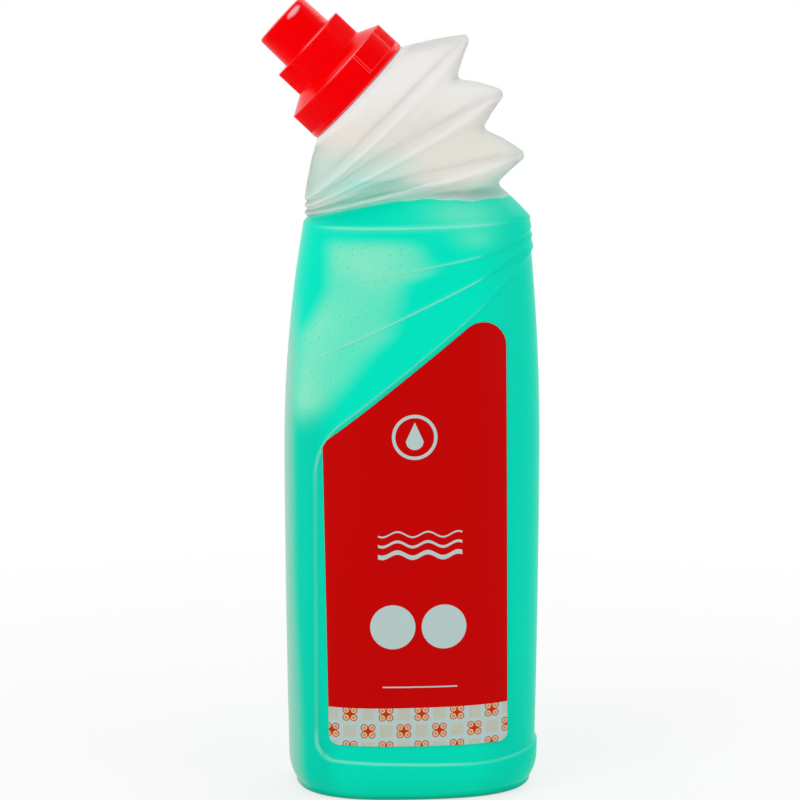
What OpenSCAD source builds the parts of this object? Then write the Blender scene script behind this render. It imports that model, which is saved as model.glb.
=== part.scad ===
// Toilet gel bottle with a bent, pleated neck and a squeeze-and-turn cap.
// Millimetres, +Z up. The origin is the middle of the standing ring, the label faces -Y,
// and the neck leans towards -X. The moulding is the same on its front and back halves.

/* [Body] */
// Width of the body at its widest height
body_width = 87.6; // [74:0.2:104]
// Depth of the body, front to back
body_depth = 60; // [50:0.5:72]
// Squareness of the oval section, where 2 is an ellipse
body_square = 2.6; // [2.2:0.1:3.2]
// Height of the shoulder crease above the standing ring
shoulder_height = 194; // [178:1:230]
// Height at which the body is widest
widest_height = 115; // [95:1:130]
// How far each side draws in from the widest height to the foot
foot_draw = 1.2; // [0:0.1:2.5]
// How far the left side draws in at the shoulder
left_draw = 7; // [4:0.1:9]
// How far the right side draws in at the shoulder
right_draw = 4.4; // [2:0.1:7]
// How far the front and the back draw in at the shoulder
face_draw = 2; // [0:0.1:4]
// Thickness of the moulded wall
wall = 1; // [0.8:0.05:1.3]

/* [Foot] */
// Height of the rounded foot
foot_height = 10; // [7:0.5:13]
// How far the standing ring is set in from the side
foot_inset = 4.8; // [3.5:0.1:6.5]
// Width of the flat standing ring
ring_width = 4.5; // [3:0.1:7]
// Rise of the hollow under the base
push_up = 4; // [2:0.5:8]

/* [Swept steps and label recess] */
// Depth of each swept step in the upper body
step_depth = 0.55; // [0.2:0.05:0.9]
// Height over which a step turns in
step_height = 1.1; // [0.8:0.1:1.6]
// How far the upper swept line lies under the shoulder at the left side
upper_drop = 18.5; // [14:0.5:24]
// How far the lower swept line lies under the shoulder at the left side
lower_drop = 44.5; // [38:0.5:50]
// Distance between the swept lines where they run together at the right side
line_spacing = 2.75; // [2.3:0.05:3]
// Depth of the label recess
recess_depth = 0.85; // [0.6:0.05:1.1]
// Distance from the middle of the body to the left edge of the recess
recess_left = 34.4; // [33:0.1:36]
// Height of the lower edge of the recess
recess_bottom = 13.8; // [12:0.1:18]
// Height of the swept edge over the recess, at the left side
recess_edge_left = 116; // [110:1:126]
// Height of the swept edge over the recess, at the right side
recess_edge_right = 186.5; // [178:0.5:187]

/* [Pleated neck] */
// Number of pleats
pleats = 3; // [2:1:4]
// Angle that each pleat opens
pleat_angle = 14.8; // [12:0.1:16]
// How much steeper a valley lies than the half-way angle
valley_lead = 2.5; // [1.5:0.1:3.5]
// Length of a ridge from left to right
ridge_span = 76; // [72:0.5:79]
// Length of a valley from left to right
valley_span = 64.3; // [60:0.5:67]
// Half of the depth of the lowest ridge
ridge_depth = 27; // [25:0.5:28]
// Half of the depth of the lowest valley
valley_depth = 22; // [20:0.5:23]
// Height of one closed pleat at the left side
stack_pitch = 2.5; // [2.2:0.1:3.2]
// Thickness of a ridge's blunt edge at its open end
ridge_edge = 1.6; // [1:0.1:2.4]
// Height of the cone from the top ridge to the neck
cone_height = 12.4; // [10:0.2:16]

/* [Neck finish] */
// Radius of the flat land round the neck, under the cap
land_radius = 20.2; // [18.5:0.1:20.4]
// Outer radius of the neck over its thread
finish_radius = 12.3; // [11.8:0.1:12.6]
// Radius of the bore of the neck
bore_radius = 10.2; // [9.6:0.1:10.6]
// Height of the neck above the land
finish_height = 19.4; // [16:0.2:21]
// Radius of the collar at the foot of the neck
collar_radius = 15.6; // [15.2:0.1:16.2]
// Height of the collar and its two stop lugs
collar_height = 2.2; // [1.6:0.1:3]
// Radius over the two stop lugs
lug_radius = 18.4; // [17.5:0.1:18.6]

/* [Cap] */
// Radius over the ribs of the wide lower ring
skirt_radius = 20.7; // [20.4:0.1:21.6]
// Height of the lower ring
skirt_height = 9.9; // [8:0.1:11]
// Gap between the land of the bottle and the rim of the cap
rim_gap = 0.5; // [0.4:0.1:2]
// Height of the plain band at the rim
band_height = 1.7; // [1.2:0.1:2.4]
// Height of the sloping shoulder
slope_height = 3.2; // [2.6:0.1:4.5]
// Radius over the ribs of the middle tier
tier_radius = 14.0; // [13.8:0.1:14.6]
// Height of the tip above the middle tier
tip_height = 12.5; // [10:0.1:14]
// Radius of the tip at its foot
tip_radius = 10.2; // [9.6:0.1:10.8]
// Radius of the tip at its top
tip_top_radius = 9.9; // [9:0.1:10.2]
// Thickness of the cap's walls
cap_wall = 1.3; // [1.1:0.05:1.5]
// Depth of the fine ribs
rib_depth = 0.22; // [0.1:0.02:0.3]
// Number of ribs round the lower ring
skirt_ribs = 150; // [90:2:180]
// Number of ribs round the middle tier
tier_ribs = 108; // [60:2:130]
// Half of the angle that each smooth squeeze pad covers
pad_half_angle = 20; // [12:1:28]
// Angle of the squeeze pads round the neck, from the front towards the right
pad_angle = 42; // [30:1:60]

/* [Nozzle insert and fits] */
// Thickness of the nozzle's flange
flange_height = 1.6; // [1.2:0.1:2]
// Length of the nozzle's plug below the flange
plug_length = 8; // [5:0.5:12]
// Radius of the spout at its foot
spout_radius = 7.2; // [6:0.1:7.6]
// Radius of the spout at its mouth
mouth_radius = 4.2; // [3.8:0.1:5]
// Radius of the hole in the mouth
orifice_radius = 2.5; // [2:0.1:2.8]
// Running clearance between the cap and what it covers
cap_fit = 0.35; // [0.3:0.05:0.5]
// Clearance of the plug in the bore of the neck
plug_fit = 0.08; // [0.05:0.01:0.15]

/* [Label and contents] */
// Thickness of the label
label_thickness = 0.15; // [0.1:0.01:0.2]
// Gap between the label and the floor of the recess
label_gap = 0.22; // [0.2:0.01:0.3]
// Height of the label's lower edge
label_bottom = 20; // [17:0.5:26]
// Distance from the left edge of the recess to the label, at its lower edge
label_side_margin = 4.2; // [3.4:0.1:8]
// Margin between the label's sloping edge and the edge of the recess
label_margin = 3.6; // [3:0.1:6]
// Radius of the lower corners of the label
label_corner = 3; // [1:0.5:6]
// Radius of the upper right corner of the label
label_round = 9; // [5:0.5:12]
// Height of the gel's surface above the shoulder crease
gel_rise = 6; // [3:0.2:7]
// Gap between the gel and the wall
gel_gap = 0.3; // [0.25:0.05:0.5]

/* [Hidden] */

half_width = body_width / 2;
half_depth = body_depth / 2;

// Turn angles of the columns that every skin of the body shares: 0 is the right side,
// 180 the left. Two of them frame the left edge of the label recess on each face.
recess_turn = acos(-pow(recess_left / half_width, body_square / 2));
column_step = 7.5;
turns_front = concat(
    [for (i = [0:17]) i * column_step],
    [recess_turn - 2.6, recess_turn + 0.4],
    [for (i = [0:5]) 144 + i * 7.2]);
turns = concat(turns_front, [for (i = [len(turns_front) - 2:-1:1]) 360 - turns_front[i]]);

function signed_power(v, p) = sign(v) * pow(abs(v), p);
function ease(v) = let (u = min(1, max(0, v))) u * u * (3 - 2 * u);
function mix(a, b, f) = a + (b - a) * f;

// Half widths and half depth of the body at height z, before any inset
function rise_share(z) = (z - widest_height) / (shoulder_height - widest_height);
function drop_share(z) = (widest_height - z) / widest_height;
function draw_at(z, shoulder_draw) = z > widest_height
    ? shoulder_draw * pow(rise_share(z), 2)
    : foot_draw * pow(drop_share(z), 2);
function left_at(z) = half_width - draw_at(z, left_draw);
function right_at(z) = half_width - draw_at(z, right_draw);
function depth_at(z) = half_depth - draw_at(z, face_draw);

// Point of the body's oval at a turn angle and a height, moved inwards by inset
function body_point(turn, z, inset) =
    let (l = left_at(z) - inset,
         r = right_at(z) - inset,
         c = signed_power(cos(turn), 2 / body_square),
         s = signed_power(sin(turn), 2 / body_square))
    [mix(-l, r, (1 + c) / 2), (depth_at(z) - inset) * s, z];

// Share of the way from the left side to the right side at a turn angle
function across(turn) = (1 + signed_power(cos(turn), 2 / body_square)) / 2;

// Height of a swept line: its ends at the left and the right, and its sag between them
function swept(share, line) = mix(line[0], line[1], share) - 4 * line[2] * share * (1 - share);

// The swept lines, as [left height, right height, sag, share where it fades in]
crease_right = shoulder_height + 1.5;
crease = [shoulder_height + 0.5, crease_right, 2.5, 0.02];
upper_line = [shoulder_height - upper_drop, crease_right - line_spacing, 4, 0.2];
lower_line = [shoulder_height - lower_drop, crease_right - 2 * line_spacing, 3.5, 0.05];
recess_line = [recess_edge_left, recess_edge_right, 0, 0];

// How much of a step shows at a turn angle: swept steps fade in from the left
function step_share(turn, line) = ease((across(turn) - line[3]) / 0.15);
function in_recess(turn) = abs(turn > 180 ? 360 - turn : turn) < recess_turn - 1 ? 1 : 0;

// One ring of the body along a swept line, lifted by up, inset by a skin and by a step
function swept_ring(line, up, skin, step) =
    [for (t = turns) body_point(t, swept(across(t), line) + up, skin + step * step_share(t, line))];
function recess_ring(line, up, skin, depth) =
    [for (t = turns) body_point(t, swept(across(t), line) + up, skin + depth * in_recess(t))];
function flat_ring(z, inset) = [for (t = turns) body_point(t, z, inset)];
function between(line_a, line_b, f) = [for (i = [0:3]) mix(line_a[i], line_b[i], f)];
function lowered(line) = [line[0] - step_height, line[1] - step_height, line[2], line[3]];

// Rings of one skin of the body, from the foot up to the shoulder crease
foot_line = [recess_bottom, recess_bottom, 0, 0];
function wall_rings(skin) = concat(
    [recess_ring(foot_line, 0, skin, 0),
     recess_ring(foot_line, step_height, skin, recess_depth)],
    [for (f = [0.13, 0.32, 0.52, 0.72, 0.88])
        recess_ring(between(foot_line, recess_line, f), 0, skin, recess_depth)],
    [recess_ring(recess_line, -step_height, skin, recess_depth),
     recess_ring(recess_line, 0, skin, 0),
     swept_ring(between(recess_line, lowered(lower_line), 0.35), 0, skin, 0),
     swept_ring(between(recess_line, lowered(lower_line), 0.7), 0, skin, 0),
     swept_ring(lowered(lower_line), 0, skin, step_depth),
     swept_ring(lower_line, 0, skin, 0),
     swept_ring(between(lower_line, lowered(upper_line), 0.5), 0, skin, step_depth / 2),
     swept_ring(lowered(upper_line), 0, skin, step_depth),
     swept_ring(upper_line, 0, skin, 0),
     swept_ring(between(upper_line, lowered(crease), 0.5), 0, skin, step_depth / 2),
     swept_ring(lowered(crease), 0, skin, step_depth / 2),
     swept_ring(crease, 0, skin, 0)]);

// Rings of the rounded foot: the standing ring, a bead, a groove, and the curve up to the wall
push_up_slope = 6;
foot_outer = concat(
    [flat_ring(push_up, foot_inset + ring_width + push_up_slope),
     flat_ring(0, foot_inset + ring_width),
     flat_ring(0, foot_inset)],
    [for (p = [[0.06, 0.66], [0.17, 0.46], [0.24, 0.5], [0.38, 0.36], [0.62, 0.14], [1, 0]])
        flat_ring(p[0] * foot_height, p[1] * foot_inset)]);
function foot_inner(skin) =
    [flat_ring(push_up + skin, foot_inset + ring_width + push_up_slope),
     flat_ring(skin, foot_inset + ring_width),
     flat_ring(skin, foot_inset + skin),
     flat_ring(foot_height * 0.24 + skin, 0.6 * foot_inset + skin),
     flat_ring(foot_height * 0.5 + skin / 2, 0.22 * foot_inset + skin),
     flat_ring(foot_height, skin)];

// Pleated neck. A ring of it is a tilted oval, held at its left end and opened by an angle,
// with its front and back drawn down by sag. Level 1 is the lowest ridge, 0.5 the lowest valley.
stack_x = -(half_width - left_draw) + 0.4;
stack_z = shoulder_height + 0.4;
neck_square = 2.2;
function fan_ring(x, z, angle, span, depth, sag, skin) =
    [for (t = turns)
        let (c = signed_power(cos(t), 2 / neck_square),
             s = signed_power(sin(t), 2 / neck_square),
             reach = skin + (span - 2 * skin) * (1 + c) / 2)
        [x + reach * cos(angle), (depth - skin) * s, z + reach * sin(angle) - sag * pow(sin(t), 2)]];
function valley_ring(level, skin) = fan_ring(
    stack_x + 1.1, stack_z + stack_pitch * level, pleat_angle * level + valley_lead,
    valley_span, valley_depth - 0.4 * level, level - 2, skin);
function ridge_ring(level, side, skin) = fan_ring(
    stack_x, stack_z + stack_pitch * level + side * 0.3,
    pleat_angle * level + side * asin(ridge_edge / 2 / ridge_span),
    ridge_span, ridge_depth - 0.5 * (level - 1), level - 1, skin);
function neck_rings(skin) =
    [for (k = [1:pleats])
        for (ring = [valley_ring(k - 0.5, skin), ridge_ring(k, -1, skin), ridge_ring(k, 1, skin)])
            ring];

// Frame of the neck: its axis leans from the vertical by neck_lean, and its land is at the seat
neck_lean = pleat_angle * pleats + valley_lead;
top_angle = pleat_angle * pleats;
top_ridge_x = stack_x + ridge_span / 2 * cos(top_angle);
top_ridge_z = stack_z + stack_pitch * pleats + ridge_span / 2 * sin(top_angle);
seat_x = top_ridge_x - cone_height * sin(neck_lean);
seat_z = top_ridge_z + cone_height * cos(neck_lean);
module on_neck() {
    translate([seat_x, 0, seat_z]) rotate([0, -neck_lean, 0]) children();
}
function neck_ring(radius, height) =
    [for (t = turns)
        [seat_x + radius * cos(t) * cos(neck_lean) - height * sin(neck_lean),
         radius * sin(t),
         seat_z + radius * cos(t) * sin(neck_lean) + height * cos(neck_lean)]];

// Solid from rings of points that share their columns: a flat face closes each end.
// crossed splits the quads along their other diagonal, as an inner skin's are, so that the
// gel stays parallel to the wall round it.
module loft(rings, crossed = false) {
    count = len(rings[0]);
    sides = [for (i = [0:len(rings) - 2]) for (j = [0:count - 1])
        let (a = i * count + j,
             b = i * count + (j + 1) % count,
             c = a + count,
             d = b + count)
        each crossed ? [[a, c, b], [b, c, d]] : [[a, c, d], [a, d, b]]];
    first_face = [for (j = [0:count - 1]) j];
    last_face = [for (j = [count - 1:-1:0]) (len(rings) - 1) * count + j];
    polyhedron(points = [for (ring = rings) each ring], faces = concat([first_face], sides, [last_face]));
}
function reversed(list) = [for (i = [len(list) - 1:-1:0]) list[i]];

// Blow-moulded shell up to the land, with a hole that the neck's tube closes
land_hole = (finish_radius + bore_radius) / 2;
land_depth = 1.2;
module shell() {
    outer = concat(
        foot_outer, wall_rings(0), neck_rings(0),
        [neck_ring(land_radius, -0.6), neck_ring(land_radius - 0.5, 0), neck_ring(land_hole, 0)]);
    inner = concat(
        foot_inner(wall), wall_rings(wall), neck_rings(wall),
        [neck_ring(land_radius - wall, -land_depth - 0.6),
         neck_ring(land_radius - wall - 0.6, -land_depth),
         neck_ring(land_hole, -land_depth)]);
    loft(concat(outer, reversed(inner)));
}

// Neck tube with its collar and the two lugs that stop the cap until its pads are squeezed
lug_width = 3;
lug_play = 2;
lug_half_angle = 9;
lug_lead = lug_half_angle + asin(lug_width / 2 / lug_radius) + lug_play;
lug_foot = finish_radius + 1;
root_sink = 0.4;
tube_sink = land_depth + 0.5;
collar_cut = 0.5;
lip_cut = 0.8;
module neck_finish() {
    rotate_extrude($fn = 96)
        polygon([
            [bore_radius, -tube_sink],
            [finish_radius, -tube_sink],
            [finish_radius, -root_sink],
            [collar_radius, -root_sink],
            [collar_radius, collar_height - collar_cut],
            [collar_radius - collar_cut, collar_height],
            [finish_radius, collar_height],
            [finish_radius, finish_height - lip_cut],
            [finish_radius - lip_cut, finish_height],
            [bore_radius, finish_height]]);
    half_lug = lug_radius * sin(lug_half_angle);
    for (side = [0, 180])
        rotate([0, 0, pad_angle + side + lug_lead])
            translate([lug_foot, -half_lug, -root_sink])
                cube([lug_radius * cos(lug_half_angle) - lug_foot, 2 * half_lug,
                      collar_height + root_sink]);
}

module bottle() {
    color([0.86, 0.93, 0.9, 0.55]) {
        shell();
        on_neck() neck_finish();
    }
}

// Gel up to its level surface, inset from the inner wall by the gel gap. Above the crease its
// columns run towards the lowest valley, and end at the surface or rise past that valley.
gel_top = shoulder_height + gel_rise;
function gel_point(low, high, z) = high[2] > z
    ? mix(low, high, (z - low[2]) / (high[2] - low[2]))
    : high;
module gel() {
    skin = wall + gel_gap;
    low = swept_ring(crease, 0, skin, 0);
    high = valley_ring(0.5, skin + 0.5);
    under = [for (j = [0:len(turns) - 1]) gel_point(low[j], high[j], gel_top - 0.4)];
    top = [for (j = [0:len(turns) - 1])
        let (p = gel_point(low[j], high[j], gel_top)) [p[0], p[1], gel_top]];
    color([0, 0.85, 0.7])
        loft(concat(foot_inner(skin), wall_rings(skin), [under, top]), crossed = true);
}

// Nozzle insert: a flange on the neck's lip, a plug in its bore and a tapered spout
seat_top = finish_height + flange_height;
spout_top = seat_top + tip_height + 0.2;
insert_wall = 1;
insert_lead = 0.8;
mouth_cut = 0.4;
orifice_length = 2;
module nozzle_insert() {
    plug = bore_radius - plug_fit;
    plug_end = finish_height - plug_length;
    flange_radius = finish_radius - 0.2;
    spout_bore = spout_radius - 1.2 * insert_wall;
    color([0.93, 0.93, 0.9]) on_neck() rotate_extrude($fn = 96)
        polygon([
            [plug - insert_wall, plug_end],
            [plug - insert_lead / 2, plug_end],
            [plug, plug_end + insert_lead],
            [plug, finish_height],
            [flange_radius, finish_height],
            [flange_radius, seat_top],
            [spout_radius, seat_top],
            [mouth_radius + mouth_cut, spout_top - 2 * mouth_cut],
            [mouth_radius, spout_top],
            [orifice_radius, spout_top],
            [orifice_radius, spout_top - orifice_length],
            [spout_bore, seat_top - mouth_cut],
            [spout_bore, finish_height + mouth_cut / 2],
            [plug - insert_wall, finish_height - insert_lead]]);
}

// Outline of a ribbed tier: fine teeth, left plain where a squeeze pad lies. A pad's middle
// lies a quarter turn past the lugs, and pad_turn is the angle to the nearest one.
function pad_turn(a) = abs((a - pad_angle + 720) % 180 - 90);
function tooth_outline(radius, ribs, pads) =
    [for (i = [0:2 * ribs - 1])
        let (a = i * 180 / ribs,
             smooth = pads && pad_turn(a) < pad_half_angle,
             r = radius - (smooth ? rib_depth / 2 : i % 2 * rib_depth))
        [r * cos(a), r * sin(a)]];

// Cap, one moulding: a turned wall with a plain rim band, ring, sloping shoulder, tier and tip,
// and inside it the threaded skirt and the plug that closes the orifice. Two toothed bands
// wrap its ring and its tier, and two lugs stand inside the ring between the squeeze pads.
cap_base = rim_gap;
ring_top = cap_base + skirt_height;
tier_foot = ring_top + slope_height;
roof_inner = seat_top + cap_fit;
tier_top = roof_inner + cap_wall + 0.6;
tip_top = tier_top + tip_height;
tip_inner = tip_top - cap_wall;
skirt_bore = skirt_radius - cap_wall - 0.2;
skirt_core = skirt_radius - rib_depth - 0.15;
tier_core = tier_radius - rib_depth - 0.15;
band_step = 0.12;
thread_bore = finish_radius + cap_fit;
skirt_foot = collar_height + cap_fit + 0.2;
plug_foot = spout_top - 1.6;
plug_radius = orifice_radius - cap_fit;
edge_cut = 1;
inner_cut = 0.6;
module cap_wall_turned() {
    rotate_extrude($fn = 96)
        polygon([
            [skirt_radius + band_step, cap_base],
            [skirt_radius + band_step, cap_base + band_height],
            [skirt_core, cap_base + band_height],
            [skirt_core, ring_top],
            [tier_radius + 0.2, tier_foot],
            [tier_core, tier_foot],
            [tier_core, tier_top],
            [tip_radius, tier_top],
            [tip_top_radius, tip_top - edge_cut],
            [tip_top_radius - edge_cut, tip_top],
            [0, tip_top],
            [0, plug_foot],
            [plug_radius - 0.2, plug_foot],
            [plug_radius, plug_foot + 0.4],
            [plug_radius, tip_inner],
            [tip_top_radius - cap_wall - inner_cut, tip_inner],
            [tip_top_radius - cap_wall, tip_inner - inner_cut],
            [tip_radius - cap_wall, roof_inner],
            [thread_bore, roof_inner],
            [thread_bore, skirt_foot],
            [thread_bore + cap_wall, skirt_foot],
            [thread_bore + cap_wall, tier_foot - cap_wall - 0.3],
            [skirt_bore, ring_top - cap_wall],
            [skirt_bore, cap_base]]);
}
module toothed_band(radius, inner, ribs, pads, foot, top) {
    translate([0, 0, foot]) difference() {
        linear_extrude(height = top - foot) polygon(tooth_outline(radius, ribs, pads));
        translate([0, 0, -1]) cylinder(h = top - foot + 2, r = inner, $fn = 96);
    }
}
module cap() {
    color([0.86, 0.02, 0.05]) on_neck() {
        cap_wall_turned();
        toothed_band(skirt_radius, (skirt_bore + skirt_core) / 2, skirt_ribs, true,
            cap_base + band_height / 2, ring_top);
        toothed_band(tier_radius, (thread_bore + tier_core) / 2, tier_ribs, false,
            tier_foot - 0.4, tier_top);
        lug_reach = lug_radius - cap_fit;
        for (side = [0, 180])
            rotate([0, 0, pad_angle + side])
                translate([lug_reach, -lug_width / 2, cap_base + cap_fit])
                    cube([(skirt_bore + skirt_core) / 2 - lug_reach, lug_width, 0.75 * skirt_height]);
    }
}

// Front label, a thin film that lies in the recess. Its outline is a left and a right edge
// for each height, with a sloping upper edge that runs along the edge of the recess.
label_slope = (recess_edge_right - recess_edge_left) / (2 * half_width);
label_edge_zero = mix(recess_edge_left, recess_edge_right, 0.5) - label_margin;
label_taper = 0.017;
label_half_width = recess_left - label_side_margin;
label_right_top = label_half_width - 1.4;
round_x = label_right_top - label_round;
round_z = label_edge_zero + label_slope * round_x - label_round * sqrt(1 + pow(label_slope, 2));
label_top = round_z + label_round;
tangent_z = round_z + label_round / sqrt(1 + pow(label_slope, 2));
function arc_reach(radius, up) = sqrt(max(0, pow(radius, 2) - pow(up, 2)));
function corner_cut(z) = z > label_bottom + label_corner ? 0
    : label_corner - arc_reach(label_corner, label_bottom + label_corner - z);
function label_left(z) =
    let (side = -label_half_width - label_taper * (z - label_bottom) + corner_cut(z))
    z > tangent_z ? round_x - arc_reach(label_round, z - round_z)
    : max(side, (z - label_edge_zero) / label_slope);
function label_right(z) =
    let (side = label_half_width - label_taper * (z - label_bottom) / 1.6 - corner_cut(z))
    z > round_z ? min(side, round_x + arc_reach(label_round, z - round_z)) : side;
function face_point(x, z, inset) =
    let (l = left_at(z) - inset,
         r = right_at(z) - inset,
         c = 2 * (x + l) / (l + r) - 1)
    [x, -(depth_at(z) - inset) * pow(1 - pow(abs(c), body_square), 1 / body_square), z];
label_shoulder = label_edge_zero - label_slope * (label_half_width + label_taper * 100);
label_rows = concat(
    [for (u = [0, 0.1, 0.35, 1]) label_bottom + u * label_corner],
    [for (i = [1:8]) mix(label_bottom + label_corner, label_shoulder, i / 8)],
    [for (i = [1:10]) mix(label_shoulder, tangent_z, i / 10)],
    [for (u = [0.25, 0.55, 0.8, 0.95]) mix(tangent_z, label_top, u)]);
label_columns = 20;
module front_label() {
    inner = recess_depth - label_gap;
    outer = inner - label_thickness;
    rows = len(label_rows);
    wide = label_columns + 1;
    points = [for (inset = [inner, outer]) for (z = label_rows) for (j = [0:label_columns])
        face_point(mix(label_left(z), label_right(z), j / label_columns), z, inset)];
    function at(side, i, j) = (side * rows + i) * wide + j;
    skins = [for (i = [0:rows - 2]) for (j = [0:label_columns - 1]) each [
        [at(0, i, j), at(0, i, j + 1), at(0, i + 1, j + 1)],
        [at(0, i, j), at(0, i + 1, j + 1), at(0, i + 1, j)],
        [at(1, i, j), at(1, i + 1, j + 1), at(1, i, j + 1)],
        [at(1, i, j), at(1, i + 1, j), at(1, i + 1, j + 1)]]];
    sides = [for (i = [0:rows - 2]) each [
        [at(0, i, 0), at(0, i + 1, 0), at(1, i + 1, 0)],
        [at(0, i, 0), at(1, i + 1, 0), at(1, i, 0)],
        [at(0, i, label_columns), at(1, i + 1, label_columns), at(0, i + 1, label_columns)],
        [at(0, i, label_columns), at(1, i, label_columns), at(1, i + 1, label_columns)]]];
    ends = [for (j = [0:label_columns - 1]) each [
        [at(0, 0, j), at(1, 0, j + 1), at(0, 0, j + 1)],
        [at(0, 0, j), at(1, 0, j), at(1, 0, j + 1)],
        [at(0, rows - 1, j), at(0, rows - 1, j + 1), at(1, rows - 1, j + 1)],
        [at(0, rows - 1, j), at(1, rows - 1, j + 1), at(1, rows - 1, j)]]];
    color([0.76, 0.02, 0.03]) polyhedron(points = points, faces = concat(skins, sides, ends));
}

bottle();
gel();
nozzle_insert();
cap();
front_label();
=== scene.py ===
import math

import bpy
import numpy as np
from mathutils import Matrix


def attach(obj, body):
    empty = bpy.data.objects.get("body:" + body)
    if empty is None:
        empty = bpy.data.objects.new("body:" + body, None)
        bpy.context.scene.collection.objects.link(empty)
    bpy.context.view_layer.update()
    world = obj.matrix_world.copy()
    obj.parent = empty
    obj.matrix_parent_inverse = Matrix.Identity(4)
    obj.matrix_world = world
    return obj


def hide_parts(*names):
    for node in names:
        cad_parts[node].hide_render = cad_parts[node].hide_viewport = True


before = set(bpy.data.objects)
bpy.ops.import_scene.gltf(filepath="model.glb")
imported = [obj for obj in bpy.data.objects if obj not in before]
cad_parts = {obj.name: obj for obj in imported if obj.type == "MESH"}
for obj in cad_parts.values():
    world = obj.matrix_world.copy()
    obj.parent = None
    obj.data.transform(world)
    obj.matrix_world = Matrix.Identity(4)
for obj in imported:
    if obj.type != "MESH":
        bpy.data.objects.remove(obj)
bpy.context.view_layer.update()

# Studio. A plain pale floor, one large soft lamp at the front left, a weaker one at the right
# and one behind, and a white surround that shows in gloss and through clear plastic.

camera_data = bpy.data.cameras.new("camera")
camera_data.lens = 106.9
camera_data.sensor_width = 36
camera = bpy.data.objects.new("camera", camera_data)
camera.location = (-0.0671, -0.7962, 0.2516)
camera.rotation_euler = (math.radians(90 - 8.44), 0, math.radians(-4.5))
bpy.context.scene.collection.objects.link(camera)
bpy.context.scene.camera = camera
bpy.context.scene.view_settings.view_transform = "Standard"


def area_lamp(name, place, target, size, watts):
    """Square soft white lamp at a place, turned so that its -Z axis points at the target."""
    lamp = bpy.data.lights.new(name, "AREA")
    lamp.size = size
    lamp.energy = watts
    holder = bpy.data.objects.new(name, lamp)
    holder.location = place
    direction = np.array(place) - np.array(target)
    flat = math.hypot(direction[0], direction[1])
    holder.rotation_euler = (math.atan2(flat, direction[2]), 0,
                             math.atan2(direction[1], direction[0]) + math.pi / 2)
    bpy.context.scene.collection.objects.link(holder)


area_lamp("lamp_left", (-0.95, -0.75, 0.75), (0, 0, 0.14), 0.7, 5.2)
area_lamp("lamp_right", (1.0, -0.55, 0.45), (0, 0, 0.14), 0.8, 2.6)
area_lamp("lamp_back", (0.45, 0.75, 1.05), (0, 0, 0.16), 0.8, 3.6)


def shader_math(tree, operation, a, b=None, c=None, clamp=False):
    """One Math node: the operation on a, b and c, each a number or another node's output."""
    step = tree.nodes.new("ShaderNodeMath")
    step.operation = operation
    step.use_clamp = clamp
    for socket, value in zip(step.inputs, (a, b, c)):
        if value is None:
            continue
        if isinstance(value, (int, float)):
            socket.default_value = value
        else:
            tree.links.new(value, socket)
    return step.outputs[0]


def product(tree, a, b):
    """Product of two values."""
    return shader_math(tree, "MULTIPLY", a, b)


def difference(tree, a, b):
    """First value less the second."""
    return shader_math(tree, "SUBTRACT", a, b)


def set_values(node, **values):
    """Plain numbers on a node's own sockets, underscores for spaces."""
    for socket, value in values.items():
        node.inputs[socket.replace("_", " ")].default_value = value


def white_light(tree, kind, strength=1.0):
    """White Background or Emission shader of a strength."""
    light = tree.nodes.new(kind)
    set_values(light, Color=(1, 1, 1, 1), Strength=strength)
    return light


def mixed_output(tree, seen_share, unseen, seen, output):
    """Two shaders mixed by the share of the second, into a new output node."""
    choose = tree.nodes.new("ShaderNodeMixShader")
    for socket, source in zip(choose.inputs, (seen_share, unseen.outputs[0], seen.outputs[0])):
        tree.links.new(source, socket)
    tree.links.new(choose.outputs[0], tree.nodes.new(output).inputs["Surface"])


def seen_ray(tree):
    """1 for a ray from the camera, or one that gloss or clear plastic sends on, and else 0."""
    path = tree.nodes.new("ShaderNodeLightPath")
    first = shader_math(tree, "MAXIMUM", path.outputs["Is Camera Ray"], path.outputs["Is Glossy Ray"])
    return shader_math(tree, "MAXIMUM", first, path.outputs["Is Transmission Ray"])


world = bpy.data.worlds.new("surround")
bpy.context.scene.world = world
world.use_nodes = True
tree = world.node_tree
tree.nodes.clear()
mixed_output(tree, seen_ray(tree), white_light(tree, "ShaderNodeBackground", 0.62),
             white_light(tree, "ShaderNodeBackground"), "ShaderNodeOutputWorld")

floor_half = 3.0
floor_mesh = bpy.data.meshes.new("floor")
floor_mesh.from_pydata([(-floor_half, -floor_half, 0), (floor_half, -floor_half, 0),
                        (floor_half, floor_half, 0), (-floor_half, floor_half, 0)],
                       [], [(0, 1, 2, 3)])
floor = bpy.data.objects.new("floor", floor_mesh)
bpy.context.scene.collection.objects.link(floor)
floor_material = bpy.data.materials.new("pale_floor")
floor_material.use_nodes = True
tree = floor_material.node_tree
tree.nodes.clear()
paper = tree.nodes.new("ShaderNodeBsdfDiffuse")
paper.inputs["Color"].default_value = (0.9, 0.9, 0.9, 1)
place = tree.nodes.new("ShaderNodeTexCoord")
length = tree.nodes.new("ShaderNodeVectorMath")
length.operation = "LENGTH"
tree.links.new(place.outputs["Object"], length.inputs[0])
fade = tree.nodes.new("ShaderNodeMapRange")
set_values(fade, From_Min=0.08, From_Max=0.4, To_Min=0.72, To_Max=1.0)
tree.links.new(length.outputs["Value"], fade.inputs["Value"])
mixed_output(tree, product(tree, seen_ray(tree), fade.outputs[0]), paper,
             white_light(tree, "ShaderNodeEmission"), "ShaderNodeOutputMaterial")
floor_mesh.materials.append(floor_material)

# Bottle. One blow-moulded piece of milky translucent polyethylene with a 1 mm wall: an oval
# body with swept steps and a shallow label recess, a pleated neck that bends towards the left,
# and a threaded mouth. All sizes are in millimetres until a mesh is made.

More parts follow.
